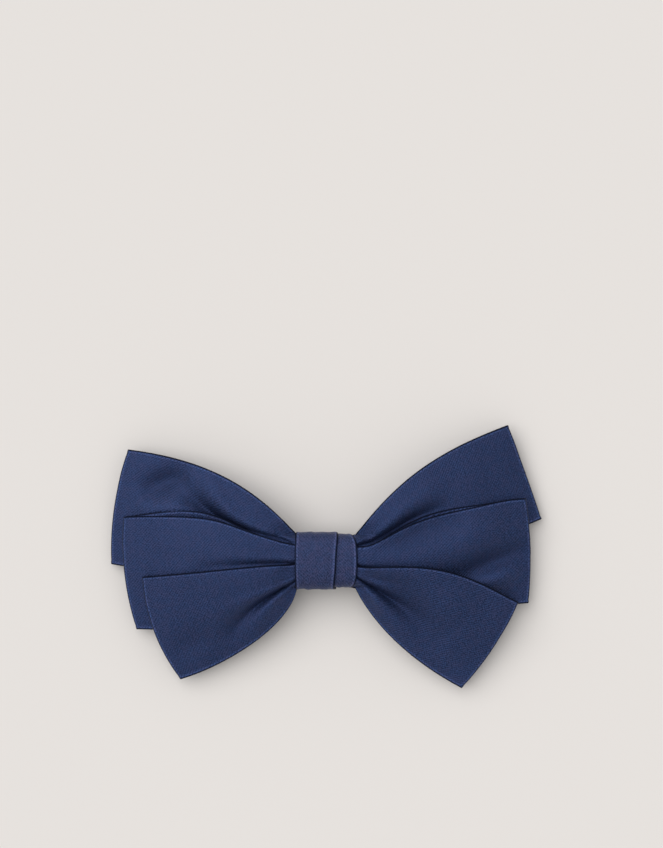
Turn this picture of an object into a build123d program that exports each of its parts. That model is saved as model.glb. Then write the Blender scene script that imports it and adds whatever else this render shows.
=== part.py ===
from build123d import *
import os

# Hair bow: three shingled satin loops gathered at the waist, one fabric strip wound
# twice round the middle, on a steel spring clip (French barrette).
# Millimetres. +X runs along the width, +Y points to the bow's upper edge and +Z out of
# its decorative face. The origin is the middle of the flat latch arm's lower face,
# straight below the knot, so the closed clip rests on Z = 0.

# ---------------------------------------------------------------- driving dimensions
# fabric loops
WAIST_X = 12.2            # the gathered waist reaches this far each side of the knot
SECTIONS = 7              # cross-sections along one lobe
WAIST_THICK = 3.0         # one loop's thickness inside the knot
PUFF_CONTROL = 6.5        # control value that sets how full a lobe is half-way out
END_THICK = 2.4           # a loop's pressed end fold

# centre band and gathering thread
BAND_LEFT, BAND_RIGHT = -11.6, 11.6
OUTER_TURN_RIGHT = 3.9    # right edge of the strip's second turn
WRAP_THICK = 0.7          # one turn of the folded strip
BUNDLE_WIDTH, BUNDLE_LOW, BUNDLE_HIGH = 19.0, 9.6, 18.2
BUNDLE_Y = -0.1
BUNDLE_CORNER = 4.2
THREAD = 0.35
THREAD_TURNS = 5
THREAD_PITCH = 0.5
BAND_LOW = 8.1            # inside of the band, just under the clip plate's middle

# clip plate
PLATE_THICK = 0.5
PLATE_WIDTH = 8.5
PLATE_CENTRE_LOW = 8.6    # underside at the middle of the arch
PAD_LOW = 5.6             # underside of the flat end pads
ARCH_HALF = 34.0          # the arch ends here and the end pads begin
PLATE_HALF = 41.0
EAR_THICK = 0.5
EAR_HALF = 1.6

# latch arm and its hinge
HINGE_X, HINGE_Z = -37.5, 3.0
PIN_R = 0.6
PIN_GAP = 0.03
STRAP = 0.6               # thickness of the arm's strip
ARM_WIDTH = 6.0
KNUCKLE_WIDTH = 7.2
FLAT_HALF = 25.5          # half length of the arm's flat middle
RAMP_END = 31.5
TAB_START, TAB_END = 41.0, 44.5
WINDOW_X0, WINDOW_X1, WINDOW_HALF = 34.2, 39.8, 2.5

# spring leaf
LEAF_THICK, LEAF_WIDTH = 0.3, 5.0
LEAF_HALF = 35.3
LEAF_END_LOW, LEAF_CENTRE_LOW = 5.27, 4.9

# catch
CATCH_X0, CATCH_X1 = 33.6, 39.6
CATCH_LOW, CATCH_STEP = 4.85, 5.22
CATCH_HALF = 1.8
LEDGE_END = 35.7
PRONG_X0, PRONG_X1 = 35.0, 39.0
PRONG_IN, PRONG_OUT = 1.9, 2.3
BARB_OUT = 2.9
RIVET_R = 0.7

# fits
BORE_FIT = 0.01           # radial play of a pressed or riveted pin
END_PLAY = 0.02           # air between an ear and the pin's head
THROUGH = 4.0             # long enough to cut right through the plate

os.makedirs("parts", exist_ok=True)


def save(node, shape):
    """Write one sub-part, as its own solids, to its own file."""
    export_step(Compound(children=shape.solids()), f"parts/{node}.step")


def bezier_value(start, control, end, t):
    """Quadratic Bezier through two end values with one control value."""
    return start * (1 - t) ** 2 + 2 * control * t * (1 - t) + end * t**2


# ---------------------------------------------------------------- fabric loops
# Each lobe is held between two edge curves in plan, both cubic Beziers running from the
# knot to the pressed end fold, and by the heights of those edges along the lobe.

UPPER_LEFT = (
    [(-WAIST_X, 9.3), (-29.9, 31.2), (-50.1, 39.7), (-78.2, 43.3)],
    [(-WAIST_X, -5.0), (-26.0, -9.5), (-50.0, -7.5), (-84.9, -1.9)],
)
UPPER_RIGHT = (
    [(WAIST_X, 9.3), (29.1, 33.3), (44.6, 42.8), (71.5, 52.9)],
    [(WAIST_X, -5.0), (30.0, -7.0), (52.0, 2.5), (85.2, 15.6)],
)
MIDDLE_LEFT = (
    [(-WAIST_X, 5.2), (-46.5, 13.2), (-36.4, 18.7), (-79.8, 16.8)],
    [(-WAIST_X, -8.3), (-24.0, -24.0), (-45.0, -28.5), (-75.1, -27.9)],
)
MIDDLE_RIGHT = (
    [(WAIST_X, 5.2), (33.7, 14.4), (54.9, 20.4), (78.5, 24.1)],
    [(WAIST_X, -8.3), (27.0, -19.0), (48.0, -20.0), (79.9, -17.5)],
)
LOWER_LEFT = (
    [(-WAIST_X, -1.8), (-31.9, -2.6), (-52.2, -3.3), (-72.3, -6.9)],
    [(-WAIST_X, -9.5), (-13.8, -30.7), (-42.0, -41.5), (-57.7, -47.6)],
)
LOWER_RIGHT = (
    [(WAIST_X, -1.8), (38.2, -0.8), (52.7, -5.5), (75.4, -16.4)],
    [(WAIST_X, -9.5), (20.2, -28.9), (36.5, -41.8), (53.4, -51.1)],
)

# heights of the top and bottom edges: at the waist, the control value, at the end fold
UPPER_HEIGHTS = ((13.0, 17.5, 6.0), (10.3, 9.0, 1.6))
MIDDLE_HEIGHTS = ((15.8, 20.5, 7.5), (12.4, 11.0, 1.6))
LOWER_HEIGHTS = ((17.6, 24.0, 9.0), (14.9, 19.0, 3.0))


def lobe_section(edges, heights, t):
    """A lens-shaped face across a lobe, t = 0 at the knot and 1 at the end fold."""
    ends = []
    for points, (start, control, end) in zip(edges, heights):
        place = Bezier(*points) @ t
        ends.append(Vector(place.X, place.Y, bezier_value(start, control, end, t)))
    top, bottom = ends
    rise = Vector(0, 0, bezier_value(WAIST_THICK, PUFF_CONTROL, END_THICK, t) / 2)
    middle = (top + bottom) / 2
    outline = ThreePointArc(top, middle + rise, bottom) + ThreePointArc(bottom, middle - rise, top)
    return make_face(outline)


def loop(left, right, heights):
    """One flattened loop: left lobe, gathered waist and right lobe."""
    steps = [i / (SECTIONS - 1) for i in range(SECTIONS)]
    faces = [lobe_section(left, heights, t) for t in reversed(steps)]
    faces += [lobe_section(right, heights, t) for t in steps]
    return loft(faces, ruled=True)


save("upper_loop", loop(UPPER_LEFT, UPPER_RIGHT, UPPER_HEIGHTS))
save("middle_loop", loop(MIDDLE_LEFT, MIDDLE_RIGHT, MIDDLE_HEIGHTS))
save("lower_loop", loop(LOWER_LEFT, LOWER_RIGHT, LOWER_HEIGHTS))


# ---------------------------------------------------------------- band and thread
def ring(low, high, width, corner, wall, x0, x1):
    """A rounded belt round the bundle, drawn in YZ and running from x0 to x1."""
    plane = Plane(origin=(x0, BUNDLE_Y, (low + high) / 2), x_dir=(0, 1, 0), z_dir=(1, 0, 0))
    outer = RectangleRounded(width + 2 * wall, high - low + 2 * wall, corner + wall)
    inner = RectangleRounded(width, high - low, corner)
    return extrude(plane * (outer - inner), amount=x1 - x0)


thread_x0 = -(THREAD_TURNS - 1) / 2 * THREAD_PITCH - THREAD / 2
thread_rings = []
for turn in range(THREAD_TURNS):
    x0 = thread_x0 + turn * THREAD_PITCH
    thread_rings.append(
        ring(BUNDLE_LOW, BUNDLE_HIGH, BUNDLE_WIDTH, BUNDLE_CORNER, THREAD, x0, x0 + THREAD)
    )
save("gathering_thread", Compound(children=thread_rings))

BAND_EASE = 0.1           # air between the thread and the band
band_high = BUNDLE_HIGH + THREAD + BAND_EASE
band_width = BUNDLE_WIDTH + 2 * (THREAD + BAND_EASE)
first_turn = ring(BAND_LOW, band_high, band_width, BUNDLE_CORNER, WRAP_THICK, BAND_LEFT, BAND_RIGHT)
both_turns = ring(
    BAND_LOW, band_high, band_width, BUNDLE_CORNER, 2 * WRAP_THICK, BAND_LEFT, OUTER_TURN_RIGHT
)
save("centre_band", first_turn + both_turns)

# a row of hand stitches closes the strip's end on the back of the band
STITCH = 0.4
STITCH_LENGTH = 1.6
STITCH_COUNT = 5
STITCH_PITCH = 2.4
STITCH_X, STITCH_Y = -8.6, 1.5
STITCH_SLANT = 25
stitch_z = BAND_LOW - 2 * WRAP_THICK - STITCH / 2
stitches = []
for number in range(STITCH_COUNT):
    place = Location((STITCH_X + number * STITCH_PITCH, STITCH_Y, stitch_z), (0, 0, STITCH_SLANT))
    stitches.append(place * Box(STITCH, STITCH_LENGTH, STITCH))
save("band_stitches", Compound(children=stitches))


# ---------------------------------------------------------------- clip plate
def side_profile(outline, width):
    """Extrude an XZ outline evenly to both sides of the clip's centre line."""
    face = make_face(outline)
    return extrude(face, amount=width / 2, dir=(0, 1, 0), both=True)


def cylinder_y(x, z, radius, y0, y1):
    """A cylinder along Y."""
    place = Location((x, (y0 + y1) / 2, z), (90, 0, 0))
    return place * Cylinder(radius, y1 - y0)


PAD_HIGH = PAD_LOW + PLATE_THICK
PLATE_CENTRE_HIGH = PLATE_CENTRE_LOW + PLATE_THICK
PLATE_CORNER = PLATE_WIDTH / 2 - 0.3
plate_outline = (
    Line((-PLATE_HALF, 0, PAD_LOW), (-ARCH_HALF, 0, PAD_LOW))
    + ThreePointArc(
        (-ARCH_HALF, 0, PAD_LOW), (0, 0, PLATE_CENTRE_LOW), (ARCH_HALF, 0, PAD_LOW)
    )
    + Line((ARCH_HALF, 0, PAD_LOW), (PLATE_HALF, 0, PAD_LOW))
    + Line((PLATE_HALF, 0, PAD_LOW), (PLATE_HALF, 0, PAD_HIGH))
    + Line((PLATE_HALF, 0, PAD_HIGH), (ARCH_HALF, 0, PAD_HIGH))
    + ThreePointArc(
        (ARCH_HALF, 0, PAD_HIGH), (0, 0, PLATE_CENTRE_HIGH), (-ARCH_HALF, 0, PAD_HIGH)
    )
    + Line((-ARCH_HALF, 0, PAD_HIGH), (-PLATE_HALF, 0, PAD_HIGH))
    + Line((-PLATE_HALF, 0, PAD_HIGH), (-PLATE_HALF, 0, PAD_LOW))
)
plate = side_profile(plate_outline, PLATE_WIDTH)
rounded_plan = RectangleRounded(2 * PLATE_HALF, PLATE_WIDTH, PLATE_CORNER)
plate = plate & extrude(rounded_plan, amount=2 * PLATE_CENTRE_LOW)

# two ears folded down from the plate carry the hinge pin
EAR_OUT = PLATE_WIDTH / 2
for side in (1, -1):
    y0, y1 = sorted((side * EAR_OUT, side * (EAR_OUT - EAR_THICK)))
    ear = cylinder_y(HINGE_X, HINGE_Z, EAR_HALF, y0, y1)
    ear += Pos(HINGE_X, (y0 + y1) / 2, (HINGE_Z + PAD_HIGH) / 2) * Box(
        2 * EAR_HALF, EAR_THICK, PAD_HIGH - HINGE_Z
    )
    plate += ear
plate -= cylinder_y(HINGE_X, HINGE_Z, PIN_R + BORE_FIT, -PLATE_WIDTH, PLATE_WIDTH)

# a pair of sewing holes near each end, and the rivet hole over the catch
SEW_X, SEW_Y, SEW_R = 30.0, 2.2, 0.6
for x in (-SEW_X, SEW_X):
    for y in (-SEW_Y, SEW_Y):
        plate -= Pos(x, y, PAD_LOW) * Cylinder(SEW_R, THROUGH)
RIVET_X = 37.5
plate -= Pos(RIVET_X, 0, PAD_LOW) * Cylinder(RIVET_R + BORE_FIT, THROUGH)
save("clip_plate", plate)

# ---------------------------------------------------------------- hinge pin
PIN_HEAD_R, PIN_HEAD = 0.95, 0.3
head_inside = EAR_OUT + END_PLAY
head_outside = head_inside + PIN_HEAD
pin = cylinder_y(HINGE_X, HINGE_Z, PIN_R, -head_outside, head_outside)
for side in (1, -1):
    y0, y1 = sorted((side * head_inside, side * head_outside))
    pin += cylinder_y(HINGE_X, HINGE_Z, PIN_HEAD_R, y0, y1)
save("hinge_pin", pin)

# ---------------------------------------------------------------- spring leaf
LEAF_END_HIGH = LEAF_END_LOW + LEAF_THICK
LEAF_CENTRE_HIGH = LEAF_CENTRE_LOW + LEAF_THICK
leaf_outline = (
    ThreePointArc(
        (-LEAF_HALF, 0, LEAF_END_LOW), (0, 0, LEAF_CENTRE_LOW), (LEAF_HALF, 0, LEAF_END_LOW)
    )
    + Line((LEAF_HALF, 0, LEAF_END_LOW), (LEAF_HALF, 0, LEAF_END_HIGH))
    + ThreePointArc(
        (LEAF_HALF, 0, LEAF_END_HIGH), (0, 0, LEAF_CENTRE_HIGH), (-LEAF_HALF, 0, LEAF_END_HIGH)
    )
    + Line((-LEAF_HALF, 0, LEAF_END_HIGH), (-LEAF_HALF, 0, LEAF_END_LOW))
)
save("spring_leaf", side_profile(leaf_outline, LEAF_WIDTH))

# ---------------------------------------------------------------- latch arm
bore_r = PIN_R + PIN_GAP
knuckle_r = bore_r + STRAP
strap_low = HINGE_Z - knuckle_r
arm_points = [
    (HINGE_X, strap_low),
    (-RAMP_END, strap_low),
    (-FLAT_HALF, 0),
    (FLAT_HALF, 0),
    (RAMP_END, strap_low),
    (TAB_START, strap_low),
    (TAB_END, strap_low / 2),
]
lower_side = [Vector(x, 0, z) for x, z in arm_points]
upper_side = [Vector(x, 0, z + STRAP) for x, z in reversed(arm_points)]
arm = side_profile(Polyline(*lower_side, *upper_side, close=True), ARM_WIDTH)
TAB_CORNER = ARM_WIDTH / 2 - 0.2
ROOT_LENGTH = 10.0        # the hinge end of the arm keeps square corners
arm_plan = Pos((HINGE_X + TAB_END) / 2, 0, 0) * RectangleRounded(
    TAB_END - HINGE_X, ARM_WIDTH, TAB_CORNER
)
square_root = Pos(HINGE_X + ROOT_LENGTH / 2, 0, 0) * Rectangle(ROOT_LENGTH, ARM_WIDTH)
arm = arm & extrude(arm_plan + square_root, amount=2 * HINGE_Z)
arm += cylinder_y(HINGE_X, HINGE_Z, knuckle_r, -KNUCKLE_WIDTH / 2, KNUCKLE_WIDTH / 2)
arm -= cylinder_y(HINGE_X, HINGE_Z, bore_r, -KNUCKLE_WIDTH, KNUCKLE_WIDTH)
window = Pos((WINDOW_X0 + WINDOW_X1) / 2, 0, strap_low) * Box(
    WINDOW_X1 - WINDOW_X0, 2 * WINDOW_HALF, 4 * STRAP
)
arm -= window
save("latch_arm", arm)

# ---------------------------------------------------------------- catch
catch_outline = Polyline(
    (CATCH_X0, 0, CATCH_LOW),
    (CATCH_X1, 0, CATCH_LOW),
    (CATCH_X1, 0, PAD_LOW),
    (LEDGE_END, 0, PAD_LOW),
    (LEDGE_END, 0, CATCH_STEP),
    (CATCH_X0, 0, CATCH_STEP),
    close=True,
)
catch_base = side_profile(catch_outline, 2 * CATCH_HALF)
catch_base -= Pos(RIVET_X, 0, PAD_LOW) * Cylinder(RIVET_R + BORE_FIT, THROUGH)
save("catch_base", catch_base)

RIVET_HEAD_R, RIVET_HEAD = 1.3, 0.35
rivet_low, rivet_high = CATCH_LOW, PAD_HIGH
rivet = Pos(RIVET_X, 0, (rivet_low + rivet_high) / 2) * Cylinder(RIVET_R, rivet_high - rivet_low)
rivet += Pos(RIVET_X, 0, rivet_low - RIVET_HEAD / 2) * Cylinder(RIVET_HEAD_R, RIVET_HEAD)
rivet += Pos(RIVET_X, 0, rivet_high + RIVET_HEAD / 2) * Cylinder(RIVET_HEAD_R, RIVET_HEAD)
save("catch_rivet", rivet)

BARB_HIGH = strap_low - 0.07
BARB_LOW = BARB_HIGH - 0.35
TIP_LOW = 0.5
# the squeeze wing stands out from the prong: its root, then its outer edge
WING_HIGH, WING_LOW = 4.3, 3.8
WING_OUT, WING_EDGE_HIGH, WING_EDGE_LOW = 3.8, 4.0, 3.6
PRONG_TOP = 5.2


def prong(side):
    """A spring finger that hangs from the catch and hooks under the arm's window."""
    corners = [
        (PRONG_IN, PRONG_TOP),
        (PRONG_OUT, PRONG_TOP),
        (PRONG_OUT, WING_HIGH),
        (WING_OUT, WING_EDGE_HIGH),
        (WING_OUT, WING_EDGE_LOW),
        (PRONG_OUT, WING_LOW),
        (PRONG_OUT, BARB_HIGH),
        (BARB_OUT, BARB_HIGH),
        (BARB_OUT, BARB_LOW),
        (PRONG_OUT, TIP_LOW),
        (PRONG_IN, TIP_LOW),
    ]
    outline = Polyline(*[Vector(PRONG_X0, side * y, z) for y, z in corners], close=True)
    return extrude(make_face(outline), amount=PRONG_X1 - PRONG_X0, dir=(1, 0, 0))


save("catch_prong_upper", prong(1))
save("catch_prong_lower", prong(-1))
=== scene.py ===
import math

import bpy
import numpy as np
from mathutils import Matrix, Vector, noise
from mathutils.bvhtree import BVHTree


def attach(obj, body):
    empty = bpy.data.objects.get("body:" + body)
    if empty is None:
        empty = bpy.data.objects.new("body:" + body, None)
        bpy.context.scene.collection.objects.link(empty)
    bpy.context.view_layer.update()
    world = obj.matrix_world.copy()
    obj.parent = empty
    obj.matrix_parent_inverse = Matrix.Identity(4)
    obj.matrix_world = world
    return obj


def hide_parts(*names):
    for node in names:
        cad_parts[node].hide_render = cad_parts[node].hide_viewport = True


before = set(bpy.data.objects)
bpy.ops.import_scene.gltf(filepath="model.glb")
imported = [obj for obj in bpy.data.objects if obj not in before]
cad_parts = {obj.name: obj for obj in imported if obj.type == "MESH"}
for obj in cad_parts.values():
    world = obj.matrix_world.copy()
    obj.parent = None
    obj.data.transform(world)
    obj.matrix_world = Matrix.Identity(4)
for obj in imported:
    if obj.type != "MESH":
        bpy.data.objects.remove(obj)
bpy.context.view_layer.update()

# A navy satin hair bow on a steel spring clip. Shapes are worked out in millimetres in
# the CAD's frame and turned into metres when a mesh is made.
MM = 0.001

# ---------------------------------------------------------------- sizes, millimetres
RIBBON_WIDTH = 45.0
PANEL_HALF = 0.34          # half the thickness of the two-layer ribbon
EDGE_HALF = 0.44           # the turned edge is a little fatter
PANEL_GAP = 0.25           # air between two panels that lie on each other
PRESSED = 0.07             # the cloth is thinner just inside a turned edge
LENGTH_STEPS = 112         # rows along one lobe
FOLD_STEPS = 8             # rows round an end fold
WAIST_STEPS = 14           # rows through the knot
EDGE_COLUMNS = (0.0, 0.35, 0.8, 1.3, 1.9, 2.7)    # close together beside a turned edge
INNER_START = 3.6          # the evenly spaced columns begin this far in
INNER_COLUMNS = 52
EDGE_RING = 5              # steps round a turned edge, from the outer face to the inner


# ---------------------------------------------------------------- small maths
def smooth_step(x):
    x = np.clip(x, 0.0, 1.0)
    return x * x * (3 - 2 * x)


def bernstein(values, t):
    """Bezier blend of control values (numbers or points) at the places t."""
    values = np.asarray(values, float)
    n = len(values) - 1
    t = np.asarray(t, float)
    total = 0
    for k, value in enumerate(values):
        weight = math.comb(n, k) * (1 - t) ** (n - k) * t**k
        total = total + weight[..., None] * value if values.ndim > 1 else total + weight * value
    return total


def even_curve(points, count):
    """Points evenly spaced by length along a Bezier curve."""
    fine = bernstein(points, np.linspace(0, 1, 600))
    run = np.concatenate([[0], np.cumsum(np.linalg.norm(np.diff(fine, axis=0), axis=1))])
    wanted = np.linspace(0, run[-1], count)
    return np.stack([np.interp(wanted, run, fine[:, k]) for k in range(fine.shape[1])], axis=1)


def across_places():
    """Fractions across the ribbon, closer together at its turned edges."""
    margin = np.array(EDGE_COLUMNS)
    inner = np.linspace(INNER_START, RIBBON_WIDTH - INNER_START, INNER_COLUMNS)
    return np.concatenate([margin, inner, RIBBON_WIDTH - margin[::-1]]) / RIBBON_WIDTH


ACROSS = across_places()
ALONG = np.linspace(0, 1, LENGTH_STEPS + 1)

# ---------------------------------------------------------------- the three loops
# Every lobe lies between two edge curves in plan, from the knot to the end fold. Heights
# are blended along the lobe for its top edge, its bottom edge and the crown between them.


class Fold:
    """A soft valley along a path in plan; a depth below zero makes it a ridge."""

    def __init__(self, path, depths, widths):
        self.path, self.depths, self.widths = path, depths, widths


class Lobe:
    """One side of a loop. bow is how far its end fold curves outward. back_lift is the start,
    end and amount by which the back panel's edge shows past the front panel's."""

    def __init__(self, top, bottom, bow, folds, back_lift=None):
        self.top, self.bottom = top, bottom
        self.bow = bow
        self.folds = folds
        self.back_lift = back_lift


class Tier:
    """A loop of two lobes. tuck is the start, end and depth of the waist's dive under the next
    tier. back_waist is the back panel's height at the knot, where it isn't near the front's."""

    def __init__(self, name, left, right, top_heights, bottom_heights, crown, tuck, back_waist=None):
        self.name = name
        self.left, self.right = left, right
        self.top_heights, self.bottom_heights = top_heights, bottom_heights
        self.crown = crown
        self.tuck = tuck
        self.back_waist = back_waist


UPPER = Tier(
    "upper",
    left=Lobe(
        [(-11.6, 9.9), (-29.9, 31.2), (-50.1, 39.7), (-78.2, 43.3)],
        [(-11.6, -3.0), (-26.0, -9.0), (-50.0, -7.5), (-85.3, -2.2)],
        bow=2.2,
        folds=[
            Fold(
                [(-11.5, 6.7), (-32.0, 12.0), (-42.0, 13.2), (-51.0, 22.5), (-59.0, 30.5)],
                (0.6, 1.4, 1.8, 5.4, 6.0, 0.3, 0.0), (0.5, 0.8, 1.8, 3.6, 5.5),
            ),
            Fold([(-53.0, 31.5), (-63.0, 33.5), (-74.0, 24.5)], (0.1, 5.4, 0.1), (4.5, 5.5, 4.5)),
            Fold([(-50.0, 19.0), (-62.0, 21.0), (-76.0, 19.0)], (-0.1, -2.0, -0.1), (4.0, 4.0, 4.0)),
        ],
    ),
    right=Lobe(
        [(11.4, 9.9), (29.1, 33.3), (44.6, 42.8), (71.5, 52.9)],
        [(11.4, -3.0), (30.0, -7.0), (52.0, 2.5), (85.2, 15.6)],
        bow=0.3,
        folds=[
            Fold(
                [(11.0, 6.0), (23.0, 6.1), (28.0, 17.2), (50.0, 21.5)],
                (0.8, 2.6, 5.0, 0.2), (0.5, 0.8, 1.8, 4.0),
            ),
        ],
    ),
    top_heights=(14.8, 15.3, 11.0, 6.5),
    bottom_heights=(10.5, 9.5, 8.5, 3.6),
    crown=(1.4, 3.4, 3.0, 0.15),
    tuck=(0.26, 0.36, 1.2),
    back_waist=10.2,
)
MIDDLE = Tier(
    "middle",
    left=Lobe(
        [(-11.6, 6.1), (-22.5, 8.0), (-54.0, 17.4), (-26.5, 17.9), (-77.8, 17.2), (-79.8, 16.8)],
        [(-11.6, -8.0), (-24.0, -24.0), (-45.0, -28.5), (-75.1, -27.9)],
        bow=2.3,
        folds=[Fold([(-11.5, -0.9), (-30.0, -1.6), (-52.0, -2.6)], (0.9, 1.3, 0.0), (0.6, 1.4, 2.2))],
        back_lift=(0.22, 1.0, 2.4),
    ),
    right=Lobe(
        [(11.4, 5.6), (26.3, 3.7), (28.1, 25.0), (61.6, 15.3), (58.5, 23.6), (78.5, 24.1)],
        [(11.4, -8.0), (27.0, -19.0), (48.0, -20.0), (79.9, -17.5)],
        bow=1.3,
        folds=[
            Fold(
                [(40.0, -9.0), (58.0, -5.0), (68.0, 0.0), (84.0, 7.0)],
                (0.1, 3.2, 2.7, 0.2), (5.0, 4.6, 4.2, 4.0),
            ),
            Fold([(58.0, -10.0), (70.0, -6.5), (78.0, -3.0)], (-0.1, -3.2, -0.1), (3.6, 3.6, 3.6)),
            Fold(
                [(20.0, 4.0), (32.0, 8.0), (42.0, 14.0), (56.0, 17.5)],
                (0.3, 1.9, 1.9, 0.2), (2.0, 4.5, 5.0, 5.0),
            ),
            Fold([(50.0, 9.0), (60.0, 12.0), (70.0, 14.0)], (-0.1, -1.6, -0.1), (4.5, 6.0, 5.0)),
        ],
        back_lift=(0.12, 0.85, 1.3),
    ),
    top_heights=(16.6, 16.8, 13.5, 9.0),
    bottom_heights=(12.5, 9.5, 7.5, 5.6),
    crown=(0.4, 3.6, 3.6, 0.15),
    tuck=(0.42, 0.58, 1.2),
)
LOWER = Tier(
    "lower",
    left=Lobe(
        [(-11.6, -1.2), (-31.9, -1.8), (-52.0, -5.1), (-72.3, -6.8)],
        [(-11.6, -11.2), (-14.6, -27.0), (-40.0, -42.0), (-57.7, -47.6)],
        bow=3.2,
        folds=[
            Fold(
                [(-11.0, -7.3), (-20.0, -12.8), (-34.0, -20.0), (-39.5, -33.0)],
                (1.8, 3.6, 3.8, 0.2), (0.4, 0.7, 2.2, 5.0),
            ),
            Fold([(-46.0, -27.0), (-54.0, -33.0), (-60.0, -38.0)], (0.1, 1.2, 0.1), (4.0, 4.5, 4.0)),
        ],
    ),
    right=Lobe(
        [(11.4, -2.0), (27.8, -3.6), (45.8, 2.2), (60.8, -9.5), (75.4, -16.6)],
        [(11.4, -11.2), (20.2, -28.9), (36.5, -41.8), (53.4, -51.1)],
        bow=1.7,
        folds=[
            Fold(
                [(10.8, -5.9), (20.0, -12.0), (29.0, -17.0), (36.0, -24.0), (50.0, -34.0)],
                (1.8, 4.2, 4.0, 2.0, 0.0), (0.4, 0.7, 2.8, 5.0, 8.0),
            ),
            Fold(
                [(14.0, -5.5), (24.0, -9.5), (34.0, -14.0), (46.0, -20.0)],
                (0.2, 2.8, 2.6, 0.0), (2.5, 3.5, 5.0, 7.0),
            ),
        ],
    ),
    top_heights=(17.8, 18.7, 16.6, 12.0),
    bottom_heights=(13.4, 8.0, 6.5, 6.5),
    crown=(0.3, 2.4, 2.2, 0.15),
    tuck=(0.5, 0.6, 0.0),
)

# the gathered waist fills the band, whose bore is this rounded outline in YZ
BUNDLE_Y, BUNDLE_Z = -0.3, 13.4
BUNDLE_HALF_Y, BUNDLE_HALF_Z = 10.0, 4.7
BUNDLE_ROUND = 2.8
BUNDLE_SIDE = 0.995        # how far round the bundle a panel still lies on top of it
WAIST_THICK = 2.2          # from the front panel to the back panel in the knot
WAIST_DRAW = 0.07          # share by which the band draws the waist in
SHOULDER = 0.15            # height of the shoulders beside a fold, as a share of its depth
SHOULDER_AWAY = 2.3        # how many of the fold's widths away they lie

# half of how far the two panels of a lobe stand apart, from the knot to the end fold
GAPE = (0.9, 3.0, 1.6, 0.5)
TOP_GAPE = 0.25            # share of it at the top edge, so that the tiers lie close there
GAPE_WIDTH = 0.6           # share of the width over which it grows to the whole
BACK_CROWN = 1.35          # the panels also part by this many times the crown
GATHER_REACH = 0.11        # the gathers die out over this share of the lobe, or twice it midway


def bundle_top(y):
    """Height of the gathered bundle's upper surface at y."""
    side = np.clip(np.abs(y - BUNDLE_Y) / BUNDLE_HALF_Y, 0, BUNDLE_SIDE)
    return BUNDLE_Z + BUNDLE_HALF_Z * (1 - side**BUNDLE_ROUND) ** (1 / BUNDLE_ROUND)


def fold_depth(plan, fold):
    """How far a fold lowers each point of the plan, with a low shoulder on both sides."""
    places = np.linspace(0, 1, 60)
    line = bernstein(fold.path, places)
    gap = np.linalg.norm(plan[:, :, None, :] - line, axis=3)
    nearest = gap.argmin(axis=2)
    away = gap.min(axis=2)
    depth = bernstein(fold.depths, places)[nearest]
    width = bernstein(fold.widths, places)[nearest]
    valley = np.exp(-((away / width) ** 2))
    shoulder = SHOULDER * np.exp(-(((away - SHOULDER_AWAY * width) / width) ** 2))
    return depth * (valley - shoulder)


def ripple(plan, seed, size, height):
    """Gentle unevenness of hand-made fabric."""
    out = np.zeros(plan.shape[:2])
    for i in range(plan.shape[0]):
        for j in range(plan.shape[1]):
            x, y = plan[i, j]
            out[i, j] = noise.noise(Vector((x / size, y / size, seed)))
    return out * height


def lobe_plan(lobe):
    """Plan of one lobe, with unit steps across it and outward past its end fold."""
    t, w = ALONG[:, None], ACROSS[None, :]
    arch = 4 * w * (1 - w)
    top = even_curve(lobe.top, LENGTH_STEPS + 1)[:, None, :]
    bottom = even_curve(lobe.bottom, LENGTH_STEPS + 1)[:, None, :]
    across = bottom - top
    unit = across / np.linalg.norm(across, axis=2, keepdims=True)
    outward = np.stack([-unit[..., 1], unit[..., 0]], axis=2)
    if (outward[-1, 0, 0] > 0) != (lobe.top[-1][0] > 0):
        outward = -outward
    # the turned edges have their own thickness, so their middle line lies inside the outline
    inset = EDGE_HALF / np.linalg.norm(across, axis=2, keepdims=True)
    plan = top + across * (inset + w[..., None] * (1 - 2 * inset))
    return plan + outward * (lobe.bow * arch * t**4)[..., None], unit, outward


def lobe_heights(tier, lobe, plan, seed):
    """Heights of one lobe's front and back panels over its plan."""
    t, w = ALONG[:, None], ACROSS[None, :]
    arch = 4 * w * (1 - w)
    gape = bernstein(GAPE, t)
    chord = bernstein(tier.top_heights, t) * (1 - w) + bernstein(tier.bottom_heights, t) * w
    crown = bernstein(tier.crown, t) * arch
    front_z = chord + gape + crown
    opening = TOP_GAPE + (1 - TOP_GAPE) * smooth_step(w / GAPE_WIDTH)
    back_z = front_z - 2 * gape * opening - BACK_CROWN * crown

    start, end, depth = tier.tuck
    waist_front = bundle_top(plan[..., 1]) - PANEL_HALF - depth * smooth_step((w - start) / (end - start))
    waist_back = waist_front - WAIST_THICK
    if tier.back_waist is not None:
        waist_back = np.full_like(waist_front, tier.back_waist)
    gathered = 1 - smooth_step(t / (GATHER_REACH + GATHER_REACH * arch))
    front_z = front_z * (1 - gathered) + waist_front * gathered
    back_z = back_z * (1 - gathered) + waist_back * gathered

    for fold in lobe.folds:
        front_z = front_z - fold_depth(plan, fold)
    # hand-made unevenness, which dies out at the pressed end fold and at the knot
    settle = smooth_step((1 - t) / 0.10) * smooth_step(t / 0.06)
    front_z = front_z + ripple(plan, seed * 7.3, 17.0, 0.4) * settle
    front_z = front_z + ripple(plan, seed * 3.1, 6.0, 0.12) * settle
    return front_z, back_z


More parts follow.
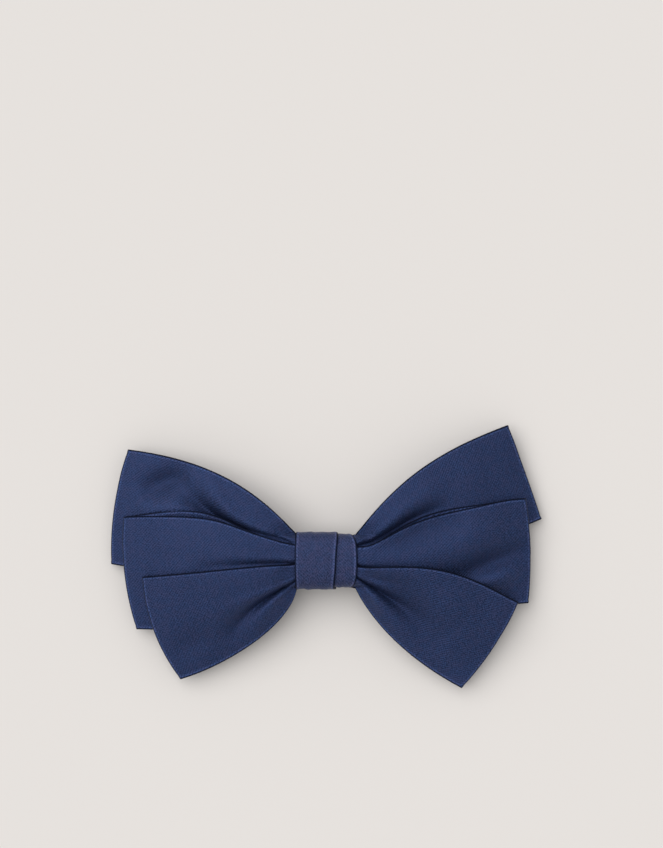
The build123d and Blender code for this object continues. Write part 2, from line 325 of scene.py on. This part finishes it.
def lobe_panels(tier, lobe, seed):
    """Front and back panel of one lobe, as grids from the knot to the end fold."""
    t, w = ALONG[:, None], ACROSS[None, :]
    plan, unit, outward = lobe_plan(lobe)
    front_z, back_z = lobe_heights(tier, lobe, plan, seed)
    back_plan = plan.copy()
    if lobe.back_lift:
        start, end, amount = lobe.back_lift
        place = np.clip((t - start) / (end - start), 0, 1)
        lift = amount * np.sin(np.pi * place) ** 1.3 * (1 - w) ** 2
        back_plan = back_plan - unit * lift[..., None]

    # both panels stop short of the end fold by its radius, which the fold rows then cover
    radius = np.maximum((front_z[-1] - back_z[-1]) / 2, 0.3)
    pull = (radius[None, :] + PANEL_HALF) * smooth_step((t - 0.5) / 0.5)
    plan = plan - outward * pull[..., None]
    back_plan = back_plan - outward * pull[..., None]
    front = np.concatenate([plan, front_z[..., None]], axis=2)
    back = np.concatenate([back_plan, back_z[..., None]], axis=2)
    return front, back, outward[-1]


def fold_rows(front_row, back_row, outward):
    """Rows round a pressed end fold, from the front panel to the back panel."""
    middle = (front_row + back_row) / 2
    radius = (front_row - back_row) / 2
    rows = []
    for k in range(1, FOLD_STEPS):
        angle = math.pi * k / FOLD_STEPS
        reach = np.linalg.norm(radius, axis=1, keepdims=True) * math.sin(angle)
        flat_step = np.broadcast_to(outward, (len(middle), 2)) * reach
        step = np.concatenate([flat_step, np.zeros_like(reach)], axis=1)
        rows.append(middle + radius * math.cos(angle) + step)
    return rows


def waist_rows(first, last):
    """Rows through the knot, drawn in a little under the band."""
    rows = []
    for k in range(1, WAIST_STEPS):
        f = k / WAIST_STEPS
        row = first * (1 - f) + last * f
        squeeze = 1 - WAIST_DRAW * math.sin(math.pi * f) ** 0.5
        row[:, 1] = BUNDLE_Y + (row[:, 1] - BUNDLE_Y) * squeeze
        rows.append(row)
    return rows


def tier_parts(tier, seed):
    """The four panels of a tier, and the directions in which its lobes end."""
    left_front, left_back, left_out = lobe_panels(tier, tier.left, seed)
    right_front, right_back, right_out = lobe_panels(tier, tier.right, seed + 1)
    return {
        "left_front": left_front, "left_back": left_back, "left_out": left_out,
        "right_front": right_front, "right_back": right_back, "right_out": right_out,
    }


def surface_tree(grid):
    """A search tree over a grid of points, for looking up from a lower panel."""
    rows, columns = grid.shape[:2]
    points = [Vector(p) for p in grid.reshape(-1, 3)]
    faces = []
    for i in range(rows - 1):
        for j in range(columns - 1):
            a = i * columns + j
            faces.append((a, a + 1, a + columns + 1, a + columns))
    return BVHTree.FromPolygons(points, faces)


def blurred(field, passes):
    """The field with each value drawn toward its neighbours' mean, passes times."""
    for _ in range(passes):
        wide = np.pad(field, 1, mode="edge")
        field = (wide[:-2, 1:-1] + wide[2:, 1:-1] + wide[1:-1, :-2] + wide[1:-1, 2:] + 4 * field) / 8
    return field


LOOK_BELOW = 40.0          # rays start this far under the panel, below every other one
DENT_BLUR = 7


def press_under(grid, tree, clearance):
    """Lowers a panel where another panel lies on it, and eases the dent out past its edge."""
    push = np.zeros(grid.shape[:2])
    for i in range(grid.shape[0]):
        for j in range(grid.shape[1]):
            x, y, z = grid[i, j]
            hit = tree.ray_cast(Vector((x, y, z - LOOK_BELOW)), Vector((0, 0, 1)))[0]
            if hit is not None:
                push[i, j] = max(0.0, z - (hit.z - clearance))
    grid[..., 2] -= np.maximum(push, blurred(push, DENT_BLUR))


def stack_tiers(tiers):
    """Sets each tier under the one that lies on it, from the front tier backwards."""
    gap = 2 * PANEL_HALF + PANEL_GAP
    above = None
    for parts in reversed(tiers):
        for side in ("left", "right"):
            front, back = parts[side + "_front"], parts[side + "_back"]
            if above is not None:
                press_under(front, above[side], gap)
            back[..., 2] = np.minimum(back[..., 2], front[..., 2] - gap)
        above = {side: surface_tree(parts[side + "_back"]) for side in ("left", "right")}


def loop_painted_shade_depths(tier, parts):
    """Fold depth over the rows of loop_grid, zero everywhere but on the two front panels; the satin turns
    it into painted shade in the valleys and a painted highlight on the ridges.
    """
    columns = len(ACROSS)
    left = sum(fold_depth(parts["left_front"][..., :2], fold) for fold in tier.left.folds)
    right = sum(fold_depth(parts["right_front"][..., :2], fold) for fold in tier.right.folds)
    behind = np.zeros((2 * (LENGTH_STEPS + 1) + 2 * (FOLD_STEPS - 1) + WAIST_STEPS - 1, columns))
    waist = np.zeros((WAIST_STEPS - 1, columns))
    return np.concatenate([left, behind, right[::-1], waist])


def loop_grid(parts):
    """One closed loop: front left, fold, back left, waist, back right, fold, front right, waist."""
    rows = list(parts["left_front"])
    rows += fold_rows(parts["left_front"][-1], parts["left_back"][-1], parts["left_out"])
    rows += list(parts["left_back"][::-1])
    rows += waist_rows(parts["left_back"][0], parts["right_back"][0])
    rows += list(parts["right_back"])
    rows += reversed(fold_rows(parts["right_front"][-1], parts["right_back"][-1], parts["right_out"]))
    rows += list(parts["right_front"][::-1])
    rows += waist_rows(parts["right_front"][0], parts["left_front"][0])
    return np.array(rows)


# ---------------------------------------------------------------- ribbon meshes
def unit_vectors(vectors):
    return vectors / np.maximum(np.linalg.norm(vectors, axis=-1, keepdims=True), 1e-9)


def grid_normals(grid, closed):
    if closed:
        along = np.roll(grid, -1, axis=0) - np.roll(grid, 1, axis=0)
    else:
        along = np.gradient(grid, axis=0)
    return unit_vectors(np.cross(along, np.gradient(grid, axis=1)))


def ribbon_tube(grid, closed, offsets, half, edge_half):
    """Points of a flattened tube round the grid: outer face, far edge, inner face, near edge."""
    normal = grid_normals(grid, closed)
    near_edge = np.minimum(offsets, offsets[-1] - offsets)
    thick = half + (edge_half - half) * np.exp(-((near_edge / 0.7) ** 2))
    thick = thick - PRESSED * np.exp(-(((near_edge - 1.5) / 0.5) ** 2))
    outer = grid + normal * thick[None, :, None]
    inner = grid - normal * thick[None, :, None]
    first_out = unit_vectors(grid[:, 0] - grid[:, 1])
    last_out = unit_vectors(grid[:, -1] - grid[:, -2])
    turns = [math.pi * k / EDGE_RING for k in range(1, EDGE_RING)]
    first, last = grid[:, 0], grid[:, -1]
    rings = list(outer.transpose(1, 0, 2))
    rings += [last + edge_half * (normal[:, -1] * math.cos(a) + last_out * math.sin(a)) for a in turns]
    rings += list(inner.transpose(1, 0, 2)[::-1])
    rings += [first - edge_half * (normal[:, 0] * math.cos(a) - first_out * math.sin(a)) for a in turns]
    return np.stack(rings, axis=1)


def cloth_distances(tube, grid, edge_half, crests):
    """Distances over the cloth: along its middle, round each row from its middle, and from
    each point to the nearest turned edge or crest of an end fold."""
    rows, ring = tube.shape[:2]
    columns = grid.shape[1]
    middle = grid[:, columns // 2]
    steps = np.linalg.norm(np.diff(np.concatenate([middle, middle[:1]]), axis=0), axis=1)
    along = np.concatenate([[0], np.cumsum(steps)])
    round_steps = np.linalg.norm(np.roll(tube, -1, axis=1) - tube, axis=2)
    around = np.concatenate([np.zeros((rows, 1)), np.cumsum(round_steps, axis=1)], axis=1)
    last_edge = around[:, columns - 1] + math.pi / 2 * edge_half
    first_edge = around[:, -1] - math.pi / 2 * edge_half
    to_last = np.abs(around[:, :ring] - last_edge[:, None])
    to_first = np.abs(around[:, :ring] - first_edge[:, None])
    edge_gap = np.minimum(to_last, np.minimum(to_first, around[:, -1:] - to_first))
    lengths = np.linalg.norm(np.roll(tube, -1, axis=0) - tube, axis=2)
    run = np.cumsum(lengths, axis=0) - lengths
    for crest in crests:
        edge_gap = np.minimum(edge_gap, np.abs(run - run[crest]))
    return along, around - around[:, columns // 2][:, None], edge_gap


def tube_faces(rows, ring, closed, along, around):
    """Faces of the tube, with the place in the weave of each of their corners."""
    faces, uvs = [], []
    for i in range(rows if closed else rows - 1):
        following = (i + 1) % rows
        for j in range(ring):
            side = (j + 1) % ring
            faces.append((i * ring + j, following * ring + j, following * ring + side, i * ring + side))
            uvs += [
                (along[i], around[i, j]), (along[i + 1], around[following, j]),
                (along[i + 1], around[following, j + 1]), (along[i], around[i, j + 1]),
            ]
    if not closed:
        faces.append(tuple(range(ring)))
        faces.append(tuple((rows - 1) * ring + j for j in reversed(range(ring))))
        uvs += [(0, around[0, j]) for j in range(ring)]
        uvs += [(along[rows - 1], around[-1, j]) for j in reversed(range(ring))]
    return faces, uvs


def point_values(mesh, name, values):
    layer = mesh.attributes.new(name, "FLOAT", "POINT")
    layer.data.foreach_set("value", values.ravel())


def ribbon_mesh(name, grid, closed, offsets, half, edge_half, material, shaded, crests=(), depths=None):
    """A flattened fabric tube round a grid of middle points, with fuller turned edges.

    The offsets are the distances across the flat ribbon. The shaded material, a darker and duller copy of
    the satin, goes on the turned edges as painted shade. The crests are the rows at the outermost line of
    an end fold, which get the painted highlight and painted shade of a turned edge. The depths are those
    of the folds over the outer face, kept for the painted shade of the folds."""
    tube = ribbon_tube(grid, closed, offsets, half, edge_half)
    rows, ring = tube.shape[:2]
    columns = grid.shape[1]
    along, around, edge_gap = cloth_distances(tube, grid, edge_half, crests)
    faces, uvs = tube_faces(rows, ring, closed, along, around)
    mesh = bpy.data.meshes.new(name)
    mesh.from_pydata([tuple(p) for p in tube.reshape(-1, 3) * MM], [], faces)
    layer = mesh.uv_layers.new(name="Weave")
    layer.data.foreach_set("uv", (np.array(uvs, float) * MM).ravel())
    fold_depths = np.zeros((rows, ring))
    if depths is not None:
        fold_depths[:, :columns] = depths
    # edge_gap drives the painted highlight and painted shade at the turned edges and end-fold crests;
    # fold_depth drives the painted shade of the folds
    point_values(mesh, "edge_gap", edge_gap * MM)
    point_values(mesh, "fold_depth", fold_depths)
    mesh.shade_smooth()
    mesh.materials.append(material)
    mesh.materials.append(shaded)
    # the faces round each turned edge get the darker, duller copy of the satin: painted shade along the
    # edges
    turned = set(range(columns - 1, columns - 1 + EDGE_RING)) | set(range(ring - EDGE_RING, ring))
    strips = (rows if closed else rows - 1) * ring
    for face in mesh.polygons[:strips]:
        if face.index % ring in turned:
            face.material_index = 1
    piece = bpy.data.objects.new(name, mesh)
    bpy.context.scene.collection.objects.link(piece)
    return piece


# ---------------------------------------------------------------- materials
def new_material(name):
    material = bpy.data.materials.new(name)
    material.use_nodes = True
    nodes = material.node_tree.nodes
    nodes.clear()
    output = nodes.new("ShaderNodeOutputMaterial")
    shader = nodes.new("ShaderNodeBsdfPrincipled")
    material.node_tree.links.new(shader.outputs["BSDF"], output.inputs["Surface"])
    return material, nodes, material.node_tree.links, shader


def math_node(nodes, links, operation, first, second=None, third=None):
    node = nodes.new("ShaderNodeMath")
    node.operation = operation
    for socket, value in zip(node.inputs, (first, second, third)):
        if value is None:
            continue
        if isinstance(value, (int, float)):
            socket.default_value = value
        else:
            links.new(value, socket)
    return node.outputs["Value"]


def mix_colours(nodes, links, factor, first, second):
    node = nodes.new("ShaderNodeMix")
    node.data_type = "RGBA"
    links.new(factor, node.inputs["Factor"])
    for socket, colour in (("A", first), ("B", second)):
        if isinstance(colour, tuple):
            node.inputs[socket].default_value = (*colour, 1)
        else:
            links.new(colour, node.inputs[socket])
    return node.outputs["Result"]


def map_range(nodes, links, value, low, high, to_low, to_high, easing="SMOOTHSTEP"):
    node = nodes.new("ShaderNodeMapRange")
    node.interpolation_type = easing
    for socket, number in (("From Min", low), ("From Max", high), ("To Min", to_low), ("To Max", to_high)):
        node.inputs[socket].default_value = number
    links.new(value, node.inputs["Value"])
    return node.outputs["Result"]


def noise_at(nodes, links, vector, scale, detail, stretch=(1, 1, 1)):
    place = nodes.new("ShaderNodeMapping")
    place.inputs["Scale"].default_value = stretch
    links.new(vector, place.inputs["Vector"])
    node = nodes.new("ShaderNodeTexNoise")
    node.inputs["Scale"].default_value = scale
    node.inputs["Detail"].default_value = detail
    links.new(place.outputs["Vector"], node.inputs["Vector"])
    return node.outputs["Fac"]


def stored_value(nodes, name):
    """A value that ribbon_mesh has kept at every point."""
    node = nodes.new("ShaderNodeAttribute")
    node.attribute_name = name
    return node.outputs["Fac"]


def raise_surface(nodes, links, shader, height, strength, distance):
    bump = nodes.new("ShaderNodeBump")
    bump.inputs["Strength"].default_value = strength
    bump.inputs["Distance"].default_value = distance
    links.new(height, bump.inputs["Height"])
    links.new(bump.outputs["Normal"], shader.inputs["Normal"])


# distances from the line of a turned edge, in millimetres, for its painted highlight and painted shade
EDGE_HIGHLIGHT_FROM, EDGE_HIGHLIGHT_FULL = 0.85, 1.05
EDGE_HIGHLIGHT_FADE, EDGE_HIGHLIGHT_END = 1.3, 1.7
UNDER_END, FACE_FROM = 0.80, 1.00
EDGE_HIGHLIGHT_GAIN = 1.1            # how much paler the painted highlight along a turned edge is
UNDER_PAINTED_SHADE = 0.35         # painted shade: how dark the cloth is painted where it turns under
RIDGE, VALLEY = -3.0, 5.0  # fold depths, and the painted light and shade of the cloth at each
RIDGE_PAINTED_LIGHT, VALLEY_PAINTED_SHADE = 1.15, 0.45


def satin(name, dark, light, pitch=0.9, grain=1.0):
    """Satin: slanted float lines, long slubs and cloudy wear in the ribbon's own coordinates.

    The turned edges carry a pale line, a painted highlight, and the cloth is painted darker where it turns
    under, as painted shade; the folds get painted shade in their valleys and a painted highlight on their
    ridges."""
    material, nodes, links, shader = new_material(name)
    place = nodes.new("ShaderNodeUVMap")
    place.uv_map = "Weave"
    split = nodes.new("ShaderNodeSeparateXYZ")
    links.new(place.outputs["UV"], split.inputs["Vector"])
    slant = 2 * math.pi / (pitch * MM) * math.sqrt(0.5)
    along = math_node(nodes, links, "MULTIPLY", split.outputs["X"], slant)
    across = math_node(nodes, links, "MULTIPLY", split.outputs["Y"], slant)
    floats = math_node(nodes, links, "SINE", math_node(nodes, links, "SUBTRACT", along, across))
    picks = math_node(nodes, links, "SINE", math_node(nodes, links, "ADD", along, across))
    body = nodes.new("ShaderNodeTexCoord").outputs["Object"]
    slub = noise_at(nodes, links, place.outputs["UV"], 1500.0, 1.0, (0.75, 1.5, 1))
    speck = noise_at(nodes, links, place.outputs["UV"], 3600.0, 0.0, (0.8, 1.3, 1))
    cloud = noise_at(nodes, links, body, 95.0, 3.0)
    patch = noise_at(nodes, links, body, 420.0, 2.0)
    shade = 0.5
    for source, middle, amount in (
        (floats, 0.0, 0.26), (picks, 0.0, 0.18), (slub, 0.5, 3.2 * grain), (speck, 0.5, 2.6 * grain),
        (cloud, 0.5, 0.35), (patch, 0.5, 0.35),
    ):
        part = math_node(nodes, links, "SUBTRACT", source, middle)
        shade = math_node(nodes, links, "MULTIPLY_ADD", part, amount, shade)
    shade.node.use_clamp = True
    cool = tuple(c * k for c, k in zip(light, (0.86, 1.02, 1.06)))
    warm = tuple(c * k for c, k in zip(light, (1.14, 0.97, 0.94)))
    tone = map_range(nodes, links, patch, 0.35, 0.65, 0.0, 1.0)
    cloth = mix_colours(nodes, links, shade, dark, mix_colours(nodes, links, tone, cool, warm))

    # a pale line just inside each turned edge and along each end-fold crest: a painted highlight
    gap = stored_value(nodes, "edge_gap")
    rise = map_range(nodes, links, gap, EDGE_HIGHLIGHT_FROM * MM, EDGE_HIGHLIGHT_FULL * MM, 0.0, 1.0)
    fall = map_range(nodes, links, gap, EDGE_HIGHLIGHT_FADE * MM, EDGE_HIGHLIGHT_END * MM, 1.0, 0.0)
    painted_highlight = math_node(nodes, links, "MULTIPLY", rise, fall)
    # the cloth right at a turned edge is painted darker: painted shade where it turns under
    under = map_range(nodes, links, gap, UNDER_END * MM, FACE_FROM * MM, UNDER_PAINTED_SHADE, 1.0)
    gain = math_node(nodes, links, "MULTIPLY_ADD", painted_highlight, EDGE_HIGHLIGHT_GAIN, under)
    # fold valleys painted darker and ridges paler: painted shade and painted highlight by fold depth
    depth = stored_value(nodes, "fold_depth")
    shaded = map_range(nodes, links, depth, RIDGE, VALLEY, RIDGE_PAINTED_LIGHT, VALLEY_PAINTED_SHADE)
    gain = math_node(nodes, links, "MULTIPLY", gain, shaded)
    tinted = nodes.new("ShaderNodeVectorMath")
    tinted.operation = "SCALE"
    links.new(cloth, tinted.inputs[0])
    links.new(gain, tinted.inputs["Scale"])
    links.new(tinted.outputs["Vector"], shader.inputs["Base Color"])

    relief = math_node(nodes, links, "MULTIPLY_ADD", floats, 0.25, slub)
    raise_surface(nodes, links, shader, relief, 0.8, 0.18 * MM)
    rough = map_range(nodes, links, slub, 0.3, 0.7, 0.40, 0.60)
    links.new(rough, shader.inputs["Roughness"])
    shader.inputs["Specular IOR Level"].default_value = 0.72
    shader.inputs["Specular Tint"].default_value = (0.26, 0.38, 0.95, 1)
    shader.inputs["Sheen Weight"].default_value = 0.05
    shader.inputs["Sheen Roughness"].default_value = 0.4
    shader.inputs["Sheen Tint"].default_value = (0.30, 0.42, 1.0, 1)
    return material


def plated_steel(name, colour, grain_scale, rough_low, rough_high):
    """Stamped, tumbled and plated strip: fine long grain and soft tarnish."""
    material, nodes, links, shader = new_material(name)
    body = nodes.new("ShaderNodeTexCoord").outputs["Object"]
    grain = noise_at(nodes, links, body, grain_scale, 5.0, (0.08, 1.0, 1.0))
    stain = noise_at(nodes, links, body, 130.0, 3.0)
    dull = tuple(c * 0.72 for c in colour)
    links.new(mix_colours(nodes, links, stain, colour, dull), shader.inputs["Base Color"])
    rough = map_range(nodes, links, grain, 0.0, 1.0, rough_low, rough_high, "LINEAR")
    links.new(rough, shader.inputs["Roughness"])
    raise_surface(nodes, links, shader, grain, 0.15, 0.05 * MM)
    shader.inputs["Metallic"].default_value = 1.0
    return material


NAVY_DARK = (0.0030, 0.0065, 0.0190)
NAVY_LIGHT = (0.0280, 0.0415, 0.1030)
BAND_DARK = (0.0090, 0.0120, 0.0270)
BAND_LIGHT = (0.0430, 0.0510, 0.1130)
EDGE_SHADE_DARK = (0.0030, 0.0050, 0.0120)
EDGE_SHADE_LIGHT = (0.0120, 0.0160, 0.0380)
THREAD_DARK = (0.0140, 0.0190, 0.0500)
THREAD_LIGHT = (0.0300, 0.0400, 0.0950)
satin_material = satin("navy_satin", NAVY_DARK, NAVY_LIGHT)
# a darker and, below, less shiny copy of the satin for the turned edges: painted shade along them
painted_edge_shade_material = satin("navy_satin_turned_edge_painted_shade", EDGE_SHADE_DARK, EDGE_SHADE_LIGHT)
painted_edge_shade_material.node_tree.nodes["Principled BSDF"].inputs["Specular IOR Level"].default_value = 0.15
band_material = satin("navy_satin_band", BAND_DARK, BAND_LIGHT, grain=1.2)
thread_material = satin("navy_thread", THREAD_DARK, THREAD_LIGHT, pitch=0.3)
steel_material = plated_steel("nickel_plate", (0.72, 0.71, 0.69), 2600.0, 0.22, 0.42)
spring_material = plated_steel("spring_strip", (0.60, 0.60, 0.61), 3200.0, 0.18, 0.34)

# ---------------------------------------------------------------- build the loops
TIERS = (UPPER, MIDDLE, LOWER)
tier_shapes = [tier_parts(tier, 2 * number + 1) for number, tier in enumerate(TIERS)]
stack_tiers(tier_shapes)

LOBE_ROWS = LENGTH_STEPS + 1
LEFT_CREST = LOBE_ROWS + FOLD_STEPS // 2 - 1
RIGHT_CREST = 3 * LOBE_ROWS + FOLD_STEPS - 1 + WAIST_STEPS - 1 + FOLD_STEPS // 2 - 1
for tier, parts in zip(TIERS, tier_shapes):
    piece = ribbon_mesh(
        f"{tier.name}_ribbon_loop", loop_grid(parts), True, ACROSS * RIBBON_WIDTH,
        PANEL_HALF, EDGE_HALF, satin_material, painted_edge_shade_material, (LEFT_CREST, RIGHT_CREST),
        loop_painted_shade_depths(tier, parts),
    )
    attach(piece, "bow")
    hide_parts(f"{tier.name}_loop")

# ---------------------------------------------------------------- centre band
STRIP_HALF = 0.33
STRIP_EDGE = 0.38
BAND_ROWS = 260
BAND_COLUMNS = 30
BAND_Y, BAND_Z = -0.25, 13.3
BAND_HALF_Y, BAND_HALF_Z = 10.15, 5.25
BAND_ROUND = 2.9
TURN_LIFT = 0.75           # the second turn lies on the first
SECOND_FROM, SECOND_EASE = 0.90, 0.22
FIRST_LEFT, FIRST_RIGHT, FIRST_FLARE = -4.0, 8.9, 2.9
SECOND_LEFT, SECOND_FLARE = -11.55, 0.45
SECOND_RIGHT, SECOND_SLANT = 3.5, 1.0


def band_grid():
    """Middle points of one strip wound twice round the knot, starting and ending at its back."""
    turns = np.linspace(0.0, 2.0, BAND_ROWS)
    columns = np.linspace(0, 1, BAND_COLUMNS)
    second = smooth_step((turns - SECOND_FROM) / SECOND_EASE)
    angle = 2 * math.pi * turns
    # angle 0 is the back; the strip climbs over the upper side and crosses the front
    side = np.sin(angle)
    front = -np.cos(angle)
    power = 2 / BAND_ROUND
    y = np.sign(side) * np.abs(side) ** power
    z = np.sign(front) * np.abs(front) ** power
    facing = np.clip(front, 0, 1)
    right_first = FIRST_RIGHT + FIRST_FLARE * facing**0.8
    left_second = SECOND_LEFT - SECOND_FLARE * facing
    right_second = SECOND_RIGHT + SECOND_SLANT * side * facing**0.3
    left = FIRST_LEFT * (1 - second) + left_second * second
    right = right_first * (1 - second) + right_second * second
    lift = TURN_LIFT * second
    grid = np.zeros((BAND_ROWS, BAND_COLUMNS, 3))
    grid[..., 0] = left[:, None] + (right - left)[:, None] * columns[None, :]
    grid[..., 1] = BAND_Y + (BAND_HALF_Y + lift[:, None]) * y[:, None]
    grid[..., 2] = BAND_Z + (BAND_HALF_Z + lift[:, None]) * z[:, None]
    return grid, turns


def crease_band(grid, turns):
    """Pull lines and small puckers of a strip drawn tight by hand."""
    normal = grid_normals(grid, False)
    rows, columns = grid.shape[:2]
    push = np.zeros((rows, columns))
    for i in range(rows):
        for j in range(columns):
            x, y, z = grid[i, j]
            along = noise.noise(Vector((x / 2.6, y / 7.0 + turns[i] * 9, z / 7.0)))
            fine = noise.noise(Vector((x / 1.3, y / 2.4, z / 2.4 + turns[i] * 5)))
            low = smooth_step(np.array((-4.0 - y) / 5.0))
            push[i, j] = 0.22 * along + (0.09 + 0.18 * low) * fine
    edge = np.minimum(np.linspace(0, 1, columns), np.linspace(1, 0, columns))
    push *= smooth_step(edge / 0.10)[None, :] * 0.8 + 0.2
    return grid + normal * push[..., None]


band_points, band_turns = band_grid()
band_points = crease_band(band_points, band_turns)
STRIP_WIDTH = 15.5
band = ribbon_mesh(
    "centre_band_strip", band_points, False, np.linspace(0, STRIP_WIDTH, BAND_COLUMNS),
    STRIP_HALF, STRIP_EDGE, band_material, painted_edge_shade_material,
)
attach(band, "bow")
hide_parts("centre_band")

# ---------------------------------------------------------------- carried-over CAD parts
FINISHES = {
    "clip_plate": steel_material, "latch_arm": steel_material, "hinge_pin": steel_material,
    "catch_base": steel_material, "catch_rivet": steel_material,
    "catch_prong_upper": steel_material, "catch_prong_lower": steel_material,
    "spring_leaf": spring_material,
    "gathering_thread": thread_material, "band_stitches": thread_material,
}
for node, material in FINISHES.items():
    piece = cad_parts[node]
    for place in piece.material_slots:
        place.material = material

# ---------------------------------------------------------------- floor, light, camera
SKY_STRENGTH = 0.52
SUN_STRENGTH = 1.78
SUN_SPREAD = math.radians(66)
SUN_FROM = (-0.50, 0.34, 1.0)
FRAME_HEIGHT = 0.3344      # how much the camera sees from bottom to top, in metres
CAMERA_HEIGHT = 1.0
CAMERA_PLACE = (0.0020, 0.0533, CAMERA_HEIGHT + 0.008)
PAPER = (0.79, 0.755, 0.725)


def plain(name, colour, roughness):
    material, nodes, links, shader = new_material(name)
    shader.inputs["Base Color"].default_value = (*colour, 1)
    shader.inputs["Roughness"].default_value = roughness
    shader.inputs["Specular IOR Level"].default_value = 0.1
    return material


bpy.ops.mesh.primitive_plane_add(size=6.0, location=(0, 0, 0))
floor = bpy.context.active_object
floor.name = "floor"
floor.data.materials.append(plain("pale_paper", PAPER, 0.9))

world = bpy.data.worlds.new("studio")
bpy.context.scene.world = world
world.use_nodes = True
world.node_tree.nodes["Background"].inputs["Color"].default_value = (1.0, 1.0, 1.0, 1)
world.node_tree.nodes["Background"].inputs["Strength"].default_value = SKY_STRENGTH

sun = bpy.data.lights.new("key", "SUN")
sun.energy = SUN_STRENGTH
sun.angle = SUN_SPREAD
key = bpy.data.objects.new("key", sun)
key.rotation_euler = Vector(SUN_FROM).to_track_quat("Z", "Y").to_euler()
bpy.context.scene.collection.objects.link(key)

# the camera looks straight down; the bow lies below the middle of its view
lens = bpy.data.cameras.new("camera")
lens.sensor_width = 36.0
lens.lens = lens.sensor_width * CAMERA_HEIGHT / FRAME_HEIGHT
camera = bpy.data.objects.new("camera", lens)
camera.location = CAMERA_PLACE
bpy.context.scene.collection.objects.link(camera)
bpy.context.scene.camera = camera
bpy.context.scene.view_settings.view_transform = "Standard"
